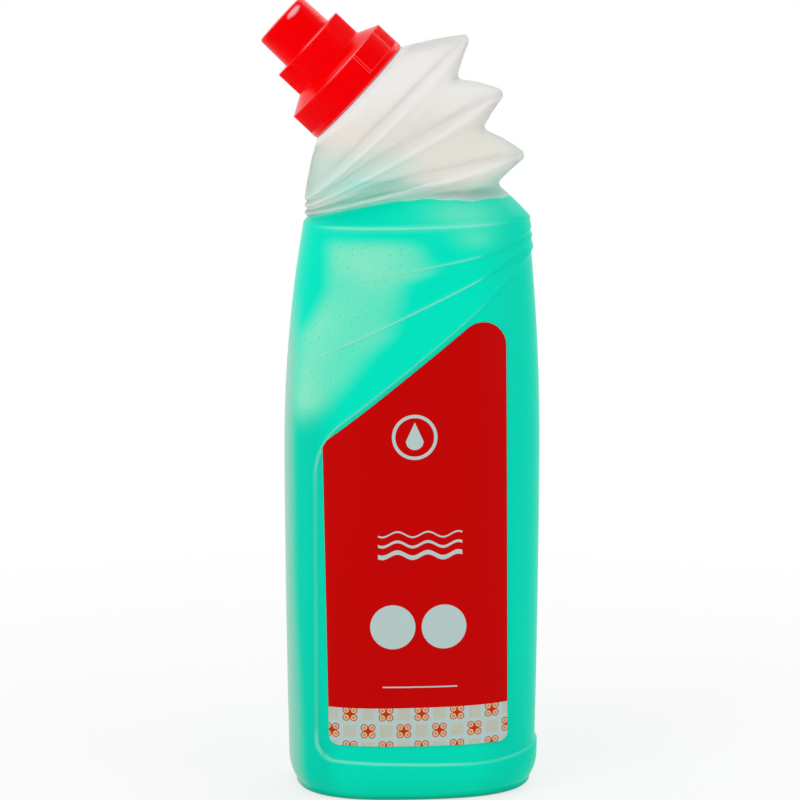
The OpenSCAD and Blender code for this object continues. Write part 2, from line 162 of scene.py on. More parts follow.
half_width = 43.8
half_depth = 30.0
body_square = 2.6
shoulder_height = 194.0
widest_height = 115.0
left_draw = 7.0
right_draw = 4.4
depth_draw = 2.0
foot_draw = 1.2
wall = 1.0
foot_height = 10.0
foot_inset = 4.8
ring_width = 4.5
push_up = 4.0
step_depth = 0.55
step_height = 1.1
recess_depth = 0.85
recess_left = 35.3
recess_bottom = 12.9
recess_round = 9.0
recess_corner = 7.0
recess_blend = 1.3


def eased(value):
    """Smooth rise from 0 to 1: 3u^2 - 2u^3 of the value held between 0 and 1."""
    u = np.clip(value, 0, 1)
    return u * u * (3 - 2 * u)


def signed_power(value, power):
    """Power of the size of a value, with the value's own sign."""
    return np.sign(value) * np.abs(value) ** power


def draw_in(z, at_shoulder):
    """How far a side draws in at height z: a parabola up to the shoulder and one down to the foot."""
    rise = np.maximum(z - widest_height, 0) / (shoulder_height - widest_height)
    drop = np.maximum(widest_height - z, 0) / widest_height
    return at_shoulder * rise ** 2 + foot_draw * drop ** 2


def body_ring(turn, z, inset):
    """Oval section at heights z, moved in by inset: x runs from the left to the right half width
    by the signed power 2/2.6 of the cosine of the turn, y by that of the sine."""
    left = half_width - draw_in(z, left_draw) - inset
    right = half_width - draw_in(z, right_draw) - inset
    across = (1 + signed_power(np.cos(turn), 2 / body_square)) / 2
    y = (half_depth - draw_in(z, depth_draw) - inset) * signed_power(np.sin(turn), 2 / body_square)
    return np.stack([-left + (left + right) * across, y, z + 0 * turn], axis=-1)


def spaced_turns(half_count):
    """Turns round the oval at even distances along it, three times closer at the recess's edge."""
    dense = np.linspace(0, math.pi, 4001)
    line = body_ring(dense, np.full_like(dense, widest_height), 0.0)
    step = np.hypot(np.diff(line[:, 0]), np.diff(line[:, 1]))
    middle = (line[1:, 0] + line[:-1, 0]) / 2
    run = np.concatenate([[0], np.cumsum(step * (1 + 2 * np.exp(-((middle + recess_left) / 1.8) ** 2)))])
    half = np.interp(np.linspace(0, run[-1], half_count + 1), run, dense)
    return np.concatenate([half, 2 * math.pi - half[-2:0:-1]])


turns = spaced_turns(112)
share = (1 + signed_power(np.cos(turns), 2 / body_square)) / 2

# Swept lines, each as height at the left and at the right, sag, where it fades in, and its upturn
# at the right
crease = (193.9, 195.8, 0.8, 0.02, 0.0)
upper_line = (174.0, 189.0, 0.8, 0.2, 3.7)
lower_line = (147.4, 187.0, -0.4, 0.05, 3.0)
recess_line = (116.0, 186.5, 0.0, 0.0, 0.0)
recess_slope = (recess_line[1] - recess_line[0]) / (2 * half_width)


def line_height(line):
    """Height of a swept line round the body: straight from left to right, less a parabolic sag,
    plus an upturn by the square of how far it is into its last third."""
    upturn = line[4] * (np.maximum(share - 0.7, 0) / 0.3) ** 2
    return line[0] + (line[1] - line[0]) * share - 4 * line[2] * share * (1 - share) + upturn


# Lower edge of the recess: it sinks a little towards the right, where it turns up
foot_across = body_ring(turns, recess_bottom, 0.0)[:, 0]
foot_tilt, foot_upturn = 0.025, 0.0045
foot_line = recess_bottom - foot_tilt * foot_across + foot_upturn * np.maximum(foot_across - 15, 0) ** 2


def recess_share(z):
    """How deep the label recess is at heights z, from 0 to 1: the eased distance inside its left,
    lower and swept upper edges."""
    inside_left = body_ring(turns, z, 0.0)[:, 0] + recess_left
    inside_top = (line_height(recess_line) - z) / math.hypot(1, recess_slope)

    def inside_corner(inside_other, radius):
        """Distance inside two edges and their rounded corner: the radius less the length of what
        each edge's distance falls short of it."""
        return radius - np.hypot(np.maximum(radius - inside_left, 0), np.maximum(radius - inside_other, 0))

    inside = np.minimum(inside_corner(inside_top, recess_round), inside_corner(z - foot_line, recess_corner))
    return eased(inside / recess_blend)


def step_share(line):
    """How much of a swept step shows: it fades in from the left side."""
    return eased((share - line[3]) / 0.15)


def skin_ring(z, inset):
    """Ring of the body at heights z with its inset and the label recess."""
    return body_ring(turns, z, inset + recess_depth * recess_share(z))


def shingle(rings, low_line, high_line, depth, skin, count):
    """Rings of one swept panel: it sinks evenly by depth from its lower line to just under its
    upper line, and comes back out over the step's height in an eased curve."""
    low = line_height(low_line)
    high = line_height(high_line)
    foot = high - step_height
    for f in np.linspace(0, 1, count + 1)[1:]:
        rings.append(skin_ring(low + (foot - low) * f, skin + depth * f * step_share(high_line)))
    for f in (0.2, 0.4, 0.6, 0.8, 1.0) if count > 8 else (1.0,):
        rings.append(skin_ring(foot + step_height * f,
                               skin + depth * (1 - eased(f)) * step_share(high_line)))


def foot_rings(skin, fine):
    """Rings of the base from its middle out: the push-up, the flat standing ring, and a rounded
    foot with a bead and a groove, as a height and an inset each. The inner skin stays above it."""
    hub = body_ring(turns, push_up + skin, foot_inset + ring_width + 6.0)
    middle = np.array([0, 0, push_up + skin + 0.6])
    rings = [middle + (hub - middle) * f for f in (0.02, 0.3, 0.65)] + [hub]
    stations = ([(2.6, 11.9), (0.5, 9.9), (0.0, 9.3), (0.0, 7.0), (0.0, 4.8), (0.15, 4.1), (0.6, 3.2),
                 (1.1, 2.65), (1.7, 2.25), (2.1, 2.3), (2.5, 2.4), (3.1, 2.1), (3.8, 1.7), (5.0, 1.1),
                 (6.2, 0.65), (7.4, 0.35), (8.6, 0.12), (10.0, 0.0)] if fine else
                [(0.0, 9.3), (0.0, 4.8), (2.4, 2.9), (5.0, 1.1), (10.0, 0.0)])
    for height, inset in stations:
        level = height + skin * (1 - height / foot_height)
        rings.append(body_ring(turns, level, skin + inset))
    if fine:  # the mould's pinch line stands out across the push-up
        for k in (1, 2, 3):
            flat = np.abs(rings[k][:, 0]) < 26
            rings[k][:, 2] -= 0.25 * np.exp(-(rings[k][:, 1] / 0.8) ** 2) * flat
    return rings


def body_rings(skin, fine):
    """Rings of one skin of the body from the foot to the shoulder crease."""
    rings = [skin_ring(foot_line, skin)]
    top = line_height(recess_line)
    low_steps = (0.35, 0.7, 1.0, 1.3, 1.8, 2.6) if fine else (1.3,)
    for up in low_steps:
        rings.append(skin_ring(foot_line + up, skin))
    count = 64 if fine else 12
    u = np.linspace(0, 1, count + 1)[1:-1]
    u = u - 0.12 * np.sin(2 * math.pi * u) if fine else u
    start = foot_line + low_steps[-1]
    for f in u:
        rings.append(skin_ring(start + (top - 3.0 - start) * f, skin))
    for down in (3.0, 2.3, 1.7, 1.25, 0.9, 0.55, 0.25, 0.0) if fine else (1.7, 0.0):
        rings.append(skin_ring(top - down, skin))
    shingle(rings, recess_line, lower_line, step_depth, skin, 20 if fine else 3)
    shingle(rings, lower_line, upper_line, step_depth, skin, 15 if fine else 3)
    shingle(rings, upper_line, crease, step_depth / 2, skin, 12 if fine else 3)
    return rings


# Pleated neck: three pleats fan out from a stack at the left side
stack_x = -36.4
stack_z = 194.4
stack_pitch = 2.5
pleat_angle = math.radians(14.8)
valley_lead = math.radians(2.5)
valley_span = 64.3
valley_set_in = 1.1
ridge_span = 76.0
ridge_half = 0.8
seat_rise = 12.4
neck_square = 2.2
neck_lean = 3 * pleat_angle + valley_lead
seat_x = stack_x + ridge_span / 2 * math.cos(3 * pleat_angle) - seat_rise * math.sin(neck_lean)
seat_z = (stack_z + 3 * stack_pitch + ridge_span / 2 * math.sin(3 * pleat_angle)
          + seat_rise * math.cos(neck_lean))


def fan_ring(x, z, angle, span, depth, sag, skin):
    """Tilted oval held at its left end (x, z) and opened by an angle, with its front and back
    drawn down by sag times the squared sine of the turn."""
    c = signed_power(np.cos(turns), 2 / neck_square)
    s = signed_power(np.sin(turns), 2 / neck_square)
    reach = skin + (span - 2 * skin) * (1 + c) / 2
    return np.stack([x + reach * math.cos(angle), (depth - skin) * s,
                     z + reach * math.sin(angle) - sag * np.sin(turns) ** 2], axis=-1)


def valley(level, skin):
    """Inner fold of a pleat."""
    return fan_ring(stack_x + valley_set_in, stack_z + stack_pitch * level,
                    pleat_angle * level + valley_lead, valley_span, 22 - 0.4 * level, level - 2, skin)


def ridge(level, side, skin):
    """One edge of a pleat's blunt outer fold: side -1 is the lower edge, 1 the upper edge."""
    return fan_ring(stack_x, stack_z + stack_pitch * level + 0.3 * side,
                    pleat_angle * level + side * math.asin(ridge_half / ridge_span), ridge_span,
                    27 - 0.5 * (level - 1), level - 1, skin)


def neck_ring(radius, height, angle=turns):
    """Circle round the neck's leaning axis at a height above the land, of one radius or of a
    radius for each angle."""
    return np.stack([
        seat_x + radius * np.cos(angle) * math.cos(neck_lean) - height * math.sin(neck_lean),
        radius * np.sin(angle),
        seat_z + radius * np.cos(angle) * math.sin(neck_lean) + height * math.cos(neck_lean)], axis=-1)


def folded(stations, radii, bulges, rows, corner_rows):
    """Rings of a folded wall: each corner between two stations' panels is a parabola that starts
    and ends its radius away, and each panel bulges along its normal by a sine."""
    stations = np.stack(stations)
    rings = []
    last = len(stations) - 1
    tails = [stations[0]]
    heads = [stations[0]]
    for k in range(1, last):
        before = stations[k - 1] - stations[k]
        after = stations[k + 1] - stations[k]
        length_before = np.linalg.norm(before, axis=1, keepdims=True)
        length_after = np.linalg.norm(after, axis=1, keepdims=True)
        cut = np.minimum(radii[k], 0.45 * np.minimum(length_before, length_after))
        heads.append(stations[k] + before * cut / length_before)
        tails.append(stations[k] + after * cut / length_after)
    heads.append(stations[last])
    for k in range(1, last + 1):
        start, end = tails[k - 1], heads[k]
        along = end - start
        around = np.roll(start, -1, axis=0) - np.roll(start, 1, axis=0)
        normal = np.cross(around, along)
        normal /= np.linalg.norm(normal, axis=1, keepdims=True) + 1e-9
        size = np.linalg.norm(along, axis=1, keepdims=True)
        for f in np.linspace(0, 1, rows[k] + 1)[1:]:
            swell = bulges[k] * math.sin(math.pi * f) * size / 30
            rings.append(start + along * f + normal * swell)
        if k == last:
            break
        for f in np.linspace(0, 1, corner_rows + 1)[1:]:
            rings.append((1 - f) ** 2 * heads[k] + 2 * f * (1 - f) * stations[k] + f ** 2 * tails[k])
    return rings


def pleated_rings(skin, fine):
    """Rings from the shoulder crease over the three pleats to the land under the cap."""
    inner = skin > 0
    stations = [body_rings_top(skin)]
    radii, bulges = [0], [0]
    for level in (1, 2, 3):
        stations += [valley(level - 0.5, skin), ridge(level, -1, skin), ridge(level, 1, skin)]
        radii += [2.2, 0.75, 0.75]
        bulges += [0.9 if level > 1 else 0.6, -0.5, 0]
    stations += [neck_ring(20.9 - skin, -0.5 - 1.2 * inner), neck_ring(20.5 - 1.1 * inner, -1.2 * inner),
                 neck_ring(bore_radius if inner else collar_radius, -1.2 * inner)]
    radii += [0.4, 0.3, 0]
    bulges += [0.6, 0, 0]
    rows = [0] + ([8] + [5, 1, 5] * 3 + [1, 2] if fine else [3] + [2, 1, 2] * 3 + [1, 1])
    rows = rows + [1] * (len(stations) - len(rows))
    return folded(stations, radii, bulges, rows, 4 if fine else 2)


def body_rings_top(skin):
    """Ring of the shoulder crease."""
    return skin_ring(line_height(crease), skin)


# Mouth: a collar with two stop lugs, a two-start thread and a plain lip
finish_radius = 12.3
bore_radius = 10.2
finish_height = 19.4
collar_radius = 15.6
collar_height = 2.2
lug_radius = 18.4
pad_angle = math.radians(42)
lug_lead = math.radians(15.7)
lug_half_angle = math.radians(10.5)
thread_pitch = 5.0


def collar_profile():
    """Radius of the collar round the neck: it rises to the stop lugs over two short arcs."""
    away = np.abs((turns - pad_angle - lug_lead + math.pi / 2) % math.pi - math.pi / 2)
    rise = eased((lug_half_angle - away) / math.radians(2.5))
    return collar_radius + (lug_radius - collar_radius) * rise


def thread_radius(height):
    """Radius over the two-start thread: a rounded rib that climbs its pitch in a turn and runs out
    at its ends."""
    phase = (height / thread_pitch - turns / (2 * math.pi)) % 0.5
    rib = np.exp(-((phase - 0.25) * thread_pitch / 0.62) ** 2)
    ends = eased((height - 3.6) / 1.2) * eased((15.6 - height) / 1.2)
    return finish_radius - 0.75 + 1.1 * rib * ends


def mouth_rings():
    """Rings of the neck's outside from the land up to its lip and down its bore."""
    rings = [neck_ring(collar_profile(), h) for h in (0.05, 1.0, 1.9)]
    rings += [neck_ring(collar_profile() - 0.3, collar_height), neck_ring(12.6, collar_height),
              neck_ring(11.6, 2.5)]
    rings += [neck_ring(thread_radius(h), h) for h in np.linspace(2.9, 16.3, 40)]
    rings += [neck_ring(r, h) for r, h in (
        (11.7, 17.2), (12.1, 17.5), (12.2, 18.3), (12.1, 19.0), (11.7, 19.35), (11.2, finish_height),
        (10.5, finish_height))]
    rings += [neck_ring(bore_radius, h) for h in (19.1, 14.0, 8.0, 2.0, -1.2)]
    return rings


def new_piece(name, points, faces, body, smooth=None):
    """Mesh object from points in mm and faces, smooth all over or by a flag for each face, that
    rides on a body."""
    mesh = bpy.data.meshes.new(name)
    mesh.from_pydata((points * 0.001).tolist(), [], faces)
    mesh.polygons.foreach_set("use_smooth", np.ones(len(faces), bool) if smooth is None else smooth)
    mesh.update()
    piece = bpy.data.objects.new(name, mesh)
    bpy.context.scene.collection.objects.link(piece)
    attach(piece, body)
    return piece


def lofted(name, rings, body, joined=False):
    """Closed piece over rings that share their columns: quads between rings, and a fan to the
    middle of the first and the last ring. Joined rings have no ends: the last one meets the first.
    The ring order makes its faces point out."""
    grid = np.stack(rings)
    count, columns = grid.shape[:2]
    points = grid.reshape(-1, 3)
    j = np.arange(columns)
    row, column = np.meshgrid(np.arange(count if joined else count - 1), j, indexing="ij")
    here, above, beside = row * columns, (row + 1) % count * columns, (column + 1) % columns
    faces = np.stack([here + column, here + beside, above + beside, above + column], axis=-1)
    faces = faces.reshape(-1, 4).tolist()
    if not joined:
        points = np.concatenate([points, [grid[0].mean(axis=0)], [grid[-1].mean(axis=0)]])
        end, last = count * columns, (count - 1) * columns
        for fan in (((j + 1) % columns, j, np.full(columns, end)),
                    (last + j, last + (j + 1) % columns, np.full(columns, end + 1))):
            faces += np.stack(fan, axis=-1).tolist()
    return new_piece(name, points, faces, body)


outer = foot_rings(0.0, True) + body_rings(0.0, True) + pleated_rings(0.0, True) + mouth_rings()
inner = foot_rings(wall, False) + body_rings(wall, False) + pleated_rings(wall, False)
bottle = lofted("bottle_shell", outer + inner[::-1], "bottle")
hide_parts("bottle")

# What shows on the wall: broad patches of painted light, painted shade at the sides and low down,
# a painted pale sheen along the left end, thick where the plastic is closed up along a ridge and
# at the land under the cap, painted highlights along the swept steps and the outline of the recess,
# and outside on the outer skin, which alone carries colour
gel_level = 200.0
grid = np.stack(outer + inner[::-1])
x, y, z = grid[..., 0], grid[..., 1], grid[..., 2]
# Painted shade: darker towards the left and right sides and low down
painted_shade = (0.95 * eased((-x - 24) / 12) * eased((160 - z) / 40) + 0.6 * eased((x - 16) / 16)
        + 0.3 * eased((60 - z) / 50))
# Painted light: broad lighter mint patches over the upper front, strongest at the upper left
painted_light_right = np.interp(z, (128, 137, 143, 151, 158, 175, 179, 190), (-31, -24, -19, -13, -5, -1, 9, 3))
painted_light_left = np.interp(z, (137, 157, 165, 174, 190), (-45, -42, -37, -33, -33))
painted_light = (eased((painted_light_right - x) / 11) * eased((x - painted_light_left) / 7)
        * eased((191 - z) / 5) * eased((z - 124) / 12)
        * (0.5 + 0.5 * np.exp(-((x + 18) / 13) ** 2 - ((z - 184) / 9) ** 2)
           + 0.4 * np.exp(-((x + 33) / 8) ** 2 - ((z - 162) / 9) ** 2)
           + 0.4 * np.exp(-((x + 38) / 8) ** 2 - ((z - 141) / 10) ** 2))
        + 0.5 * np.exp(-((x - 14) / 11) ** 2 - ((z - 198) / 4) ** 2)
        + 0.35 * np.exp(-((x - 18) / 6) ** 2 - ((z - 190) / 3) ** 2))
# Painted reflection: a pale sheen over the narrow left end, as it shows at a grazing angle
painted_sheen = 0.75 * eased(1 - share / (0.045 + 0.02 * eased((80 - z) / 60))) * eased((175 - z) / 30)
thick = np.zeros_like(z)
for level in (1, 2, 3):
    crest = (ridge(level, -1, 0) + ridge(level, 1, 0)) / 2
    thick = np.maximum(thick, 0.4 * np.exp(-(np.linalg.norm(grid - crest, axis=-1) / 0.85) ** 4))
land = neck_ring(20.6, -0.3)
thick = np.maximum(thick, np.exp(-(np.linalg.norm(grid - land, axis=-1) / 2.4) ** 2))
tips = eased((share - 0.95) / 0.045) * eased((z - 203) / 4)
thick = np.maximum(thick, 0.3 * tips)
on_outside = (np.arange(len(grid)) < len(outer))[:, None] + np.zeros_like(z)
recessed = np.stack([recess_share(ring[:, 2]) for ring in grid])
# Painted highlight along the outline of the recess, brightest at its upper left corner and along its lower
# edge, fading out at the right
edge = (4 * recessed * (1 - recessed)) ** 2 * (z < 186)
edge *= (0.25 + 0.25 * eased((x + 30) / 4) * eased((z - 60) / 20)
         + 0.6 * np.exp(-((x + 32) / 6) ** 2 - ((z - 122) / 9) ** 2)
         + 0.5 * eased((26 - z) / 6) * eased((22 - x) / 12))
edge *= 1 - eased((x - 16) / 8) * eased((z - 60) / 20)
# Painted highlights along the swept steps, fading out towards the right
for line, reach, bright, far in ((crease, 0.45, 0.75, 0.89), (upper_line, 0.3, 0.7, 0.77),
                                 (lower_line, 0.3, 0.9, 0.78)):
    shown = step_share(line) * eased((far - share) / (far - 0.7)) * bright
    edge = np.maximum(edge, shown * np.exp(-((z - line_height(line) + 0.5) / reach) ** 2))
for label, values in (("painted_light", painted_light), ("painted_shade", painted_shade), ("thick", thick), ("edge", edge),
                      ("painted_sheen", painted_sheen), ("outside", on_outside)):
    values = np.clip(values, 0, 1)
    poles = np.concatenate([values.ravel(), [values[0].mean(), values[-1].mean()]])
    attribute = bottle.data.attributes.new(label, "FLOAT", "POINT")
    attribute.data.foreach_set("value", poles.astype(np.float32))


def shader_mix(tree, share_value, a, b):
    """Colour between a and b, each a colour or another node's output."""
    step = tree.nodes.new("ShaderNodeMix")
    step.data_type = "RGBA"
    for socket, value in ((step.inputs[0], share_value), (step.inputs[6], a), (step.inputs[7], b)):
        if isinstance(value, (int, float)):
            socket.default_value = value
        elif isinstance(value, tuple):
            socket.default_value = (*value, 1)
        else:
            tree.links.new(value, socket)
    return step.outputs[2]


def attribute_value(tree, name):
    """Value that the mesh carries at each point."""
    reader = tree.nodes.new("ShaderNodeAttribute")
    reader.attribute_name = name
    return reader.outputs["Fac"]


def noise_value(tree, scale, detail=2.0):
    """Cloudy pattern on the object's own coordinates, scale in lumps a metre."""
    spot = tree.nodes.new("ShaderNodeTexCoord")
    cloud = tree.nodes.new("ShaderNodeTexNoise")
    set_values(cloud, Scale=scale, Detail=detail)
    tree.links.new(spot.outputs["Object"], cloud.inputs["Vector"])
    return cloud.outputs["Fac"]


def bumped(tree, shader, height, strength, distance):
    """Bump from a height pattern, the distance in metres."""
    bump = tree.nodes.new("ShaderNodeBump")
    set_values(bump, Strength=strength, Distance=distance)
    tree.links.new(height, bump.inputs["Height"])
    tree.links.new(bump.outputs["Normal"], shader.inputs["Normal"])


def principled(name):
    """New material with one Principled shader: its node tree and that shader."""
    material = bpy.data.materials.new(name)
    material.use_nodes = True
    return material, material.node_tree, material.node_tree.nodes["Principled BSDF"]


def millimetres(tree):
    """Object coordinates in mm, as the outputs x, y and z."""
    spot = tree.nodes.new("ShaderNodeTexCoord")
    scaled = tree.nodes.new("ShaderNodeMapping")
    scaled.inputs["Scale"].default_value = (1000, 1000, 1000)
    tree.links.new(spot.outputs["Object"], scaled.inputs["Vector"])
    parts = tree.nodes.new("ShaderNodeSeparateXYZ")
    tree.links.new(scaled.outputs[0], parts.inputs[0])
    return parts.outputs


def smooth_share(tree, value, low, high):
    """Smooth rise from 0 to 1 as a value goes from low to high."""
    step = tree.nodes.new("ShaderNodeMapRange")
    step.interpolation_type = "SMOOTHSTEP"
    set_values(step, From_Min=low, From_Max=high)
    tree.links.new(value, step.inputs["Value"])
    return step.outputs[0]


wall_material, tree, shader = principled("milky_polyethylene")
across, along, up = millimetres(tree)
thickness = attribute_value(tree, "thick")

# Wet where gel lies behind the wall: under the gently waved level, and under the lowest fold,
# whose height rises evenly towards the right and towards the front and the back
wet_rise = 2.4
level_left = difference(tree, gel_level + wet_rise, up)
for pitch, shift, height in ((0.23, 0.8, 0.35), (0.61, 0.2, 0.15), (1.7, 0.0, 0.05)):
    swell = shader_math(tree, "SINE", shader_math(tree, "MULTIPLY_ADD", across, pitch, shift))
    level_left = shader_math(tree, "MULTIPLY_ADD", swell, height, level_left)
fold_slope = math.tan(pleat_angle / 2 + valley_lead)
fold_start = stack_z + stack_pitch / 2 - (stack_x + valley_set_in) * fold_slope
fold_left = shader_math(tree, "MULTIPLY_ADD", across, fold_slope, fold_start)
fold_left = shader_math(tree, "MULTIPLY_ADD", product(tree, along, along), 1.5 / 22 ** 2, fold_left)
fold_left = difference(tree, fold_left, up)
wet = product(tree, smooth_share(tree, level_left, -0.35, 0.35), smooth_share(tree, fold_left, -0.5, 0.3))

# A thin teal film runs down the lower left folds in three steps, the strongest with a humped edge
hump = shader_math(tree, "POWER", shader_math(tree, "ADD", across, 13.0), 2.0)
hump = shader_math(tree, "MULTIPLY_ADD", hump, -0.006, 208.8)
strong = smooth_share(tree, difference(tree, hump, up), -0.5, 0.7)
for fade_from, fade_to in ((24.0, -4.0), (-38.0, -18.0)):
    strong = product(tree, strong, smooth_share(tree, across, fade_from, fade_to))
film = product(tree, strong, 0.36)
for top, share_there, fade_from in ((219.3, 0.12, -8.0), (216.0, 0.13, -2.0)):
    band = smooth_share(tree, difference(tree, top, up), -0.8, 1.2)
    band = product(tree, band, smooth_share(tree, across, fade_from + 10.0, fade_from))
    film = shader_math(tree, "MULTIPLY_ADD", band, share_there, film)
film = product(tree, film, shader_math(
    tree, "MULTIPLY_ADD", smooth_share(tree, fold_left, -2.0, -7.0), 0.55, 0.45))

# Mist lies on the wall just over the gel, and gel wets the right-hand corner of the lowest fold
misty = product(tree, smooth_share(tree, up, gel_level + 7.0, gel_level + 2.5),
                smooth_share(tree, across, -20.0, 0.0))
film = shader_math(tree, "MULTIPLY_ADD", misty, 0.1, film)
corner = shader_math(tree, "MAXIMUM", across, 14.0)
corner = shader_math(tree, "MULTIPLY_ADD", corner, 0.55, gel_level - 4.7)
corner = smooth_share(tree, difference(tree, corner, up), -1.0, 1.0)
corner = product(tree, corner, smooth_share(tree, across, 10.0, 22.0))
film = shader_math(tree, "MULTIPLY_ADD", corner, 0.35, film)

# Colour behind the wet wall: gel, painted shade at the sides and low down, patches of painted light
# with fine bubbles, a painted pale sheen at the left end, painted highlights on the lines, dark foot
painted_light_patch = product(tree, attribute_value(tree, "painted_light"),
                shader_math(tree, "MULTIPLY_ADD", noise_value(tree, 45.0, 3.0), 1.0, 0.3, clamp=True))
# Painted shade at the sides and low down
wetted = shader_mix(tree, attribute_value(tree, "painted_shade"), (0.0, 0.86, 0.57), (0.0, 0.68, 0.46))
# Painted light: the mint patches, broken up by a cloud
wetted = shader_mix(tree, painted_light_patch, wetted, (0.32, 0.92, 0.61))
# Painted reflection: the pale sheen at the left end
wetted = shader_mix(tree, attribute_value(tree, "painted_sheen"), wetted, (0.40, 0.66, 0.52))
spot = tree.nodes.new("ShaderNodeTexCoord")
cells = tree.nodes.new("ShaderNodeTexVoronoi")
cells.inputs["Scale"].default_value = 620.0
tree.links.new(spot.outputs["Object"], cells.inputs["Vector"])
bubble = shader_math(tree, "LESS_THAN", cells.outputs["Distance"], 0.145)
bubble = product(tree, bubble, attribute_value(tree, "painted_light"))
wetted = shader_mix(tree, product(tree, bubble, 0.6), wetted, (0.0, 0.36, 0.27))
# Painted highlights along the steps and the outline of the recess
wetted = shader_mix(tree, product(tree, attribute_value(tree, "edge"), 0.75), wetted, (0.42, 0.95, 0.76))
low_rim = shader_math(tree, "MULTIPLY_ADD", up, -0.7, 2.1, clamp=True)
wetted = shader_mix(tree, product(tree, low_rim, 0.75), wetted, (0.0, 0.40, 0.25))

# Colour of the clear wall: warm low down, whiter at the top, along the ridges and in the mist
clear = shader_mix(tree, smooth_share(tree, up, 222.0, 240.0), (0.86, 0.80, 0.74), (0.93, 0.89, 0.87))
closed_up = shader_math(tree, "MULTIPLY", thickness, 2.2, clamp=True)
clear = shader_mix(tree, closed_up, clear, (0.99, 0.965, 0.945))
clear = shader_mix(tree, misty, clear, (0.98, 1.0, 0.99))
clear = shader_mix(tree, film, clear, (0.04, 0.76, 0.62))
tinted = shader_mix(tree, wet, clear, wetted)
tree.links.new(shader_mix(tree, attribute_value(tree, "outside"), (1.0, 1.0, 1.0), tinted),
               shader.inputs["Base Color"])
see_through = shader_math(tree, "MULTIPLY_ADD", wet, -0.88, 0.88)
see_through = shader_math(tree, "MULTIPLY_ADD", misty, -0.6, see_through)
see_through = shader_math(tree, "MULTIPLY_ADD", thickness, -0.9, see_through, clamp=True)
see_through = shader_math(tree, "MAXIMUM", see_through,
                          difference(tree, 1.0, attribute_value(tree, "outside")))
tree.links.new(see_through, shader.inputs["Transmission Weight"])
tree.links.new(shader_math(tree, "MULTIPLY_ADD", wet, -0.6, 0.85), shader.inputs["Subsurface Weight"])
set_values(shader, Roughness=0.3, IOR=1.08, Specular_IOR_Level=1.0,
           Subsurface_Radius=(0.004, 0.004, 0.004), Subsurface_Scale=1.0)
bumped(tree, shader, noise_value(tree, 900.0), 0.06, 0.0004)
bottle.data.materials.append(wall_material)

# Gel. About 0.75 litre of turquoise bleach gel that fills the body and ends in a slightly
# wavy surface just over the shoulder crease.

gel_skin = wall + 0.3


def gel_rings():
    """Rings of the gel: the body's inner skin less a small gap, then columns that run from the
    crease towards the lowest fold up to the surface, and the surface itself drawn to its middle."""
    low = body_rings_top(gel_skin)
    high = valley(0.5, gel_skin + 0.5)
    rings = foot_rings(gel_skin, False) + body_rings(gel_skin, False)
    wave = 0.25 * np.sin(low[:, 0] * 0.31 + 0.8) + 0.15 * np.sin(low[:, 0] * 0.83)
    for down in (2.5, 0.7, 0.0):
        level = gel_level + wave - down
        f = np.clip((level - low[:, 2]) / (high[:, 2] - low[:, 2]), 0, 1)[:, None]
        rings.append(low + (high - low) * f)
    edge = rings[-1].copy()
    middle = np.array([edge[:, 0].mean(), 0, gel_level - 0.1])
    for f in (0.9, 0.7, 0.45, 0.2):
        ring = middle + (edge - middle) * f
        ring[:, 2] += 0.2 * np.sin(ring[:, 0] * 0.2) * np.sin(ring[:, 1] * 0.25)
        rings.append(ring)
    return rings


gel = lofted("gel_fill", gel_rings(), "bottle")
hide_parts("gel")
gel_material, tree, shader = principled("turquoise_gel")
cloud = product(tree, noise_value(tree, 26.0, 3.0), 0.5)
tree.links.new(shader_mix(tree, cloud, (0.0, 0.74, 0.52), (0.0, 0.66, 0.46)), shader.inputs["Base Color"])
set_values(shader, Roughness=0.25, IOR=1.35, Subsurface_Weight=0.3, Subsurface_Radius=(0.004, 0.012, 0.01),
           Subsurface_Scale=1.0)
bumped(tree, shader, noise_value(tree, 120.0), 0.2, 0.0006)
gel.data.materials.append(gel_material)

# Nozzle insert. A moulded natural polyethylene insert pressed into the mouth: a flange on the
# lip, a plug in the bore and a tapered spout with a small hole.

seat_top = 21.0
spout_top = 33.7


def turned(stations, columns, radius_at=None):
    """Rings round the neck's axis from pairs of radius and height. radius_at may change a radius
    for each turn."""
    angle = np.linspace(0, 2 * math.pi, columns, endpoint=False)
    rings = []
    for radius, height in stations:
        rings.append(neck_ring(radius_at(radius, height, angle) if radius_at else radius, height, angle))
    return rings


def softened(corners, cut, steps=3):
    """Profile with each corner between its ends replaced by a short parabola, cut long each way."""
    corners = np.array(corners, float)
    line = [corners[0]]
    for k in range(1, len(corners) - 1):
        before, here, after = corners[k - 1:k + 2]
        reach = min(cut, 0.45 * np.linalg.norm(before - here), 0.45 * np.linalg.norm(after - here))
        head = here + (before - here) * reach / np.linalg.norm(before - here)
        tail = here + (after - here) * reach / np.linalg.norm(after - here)
        for f in np.linspace(0, 1, steps + 1):
            line.append((1 - f) ** 2 * head + 2 * f * (1 - f) * here + f ** 2 * tail)
    line.append(corners[-1])
    return line


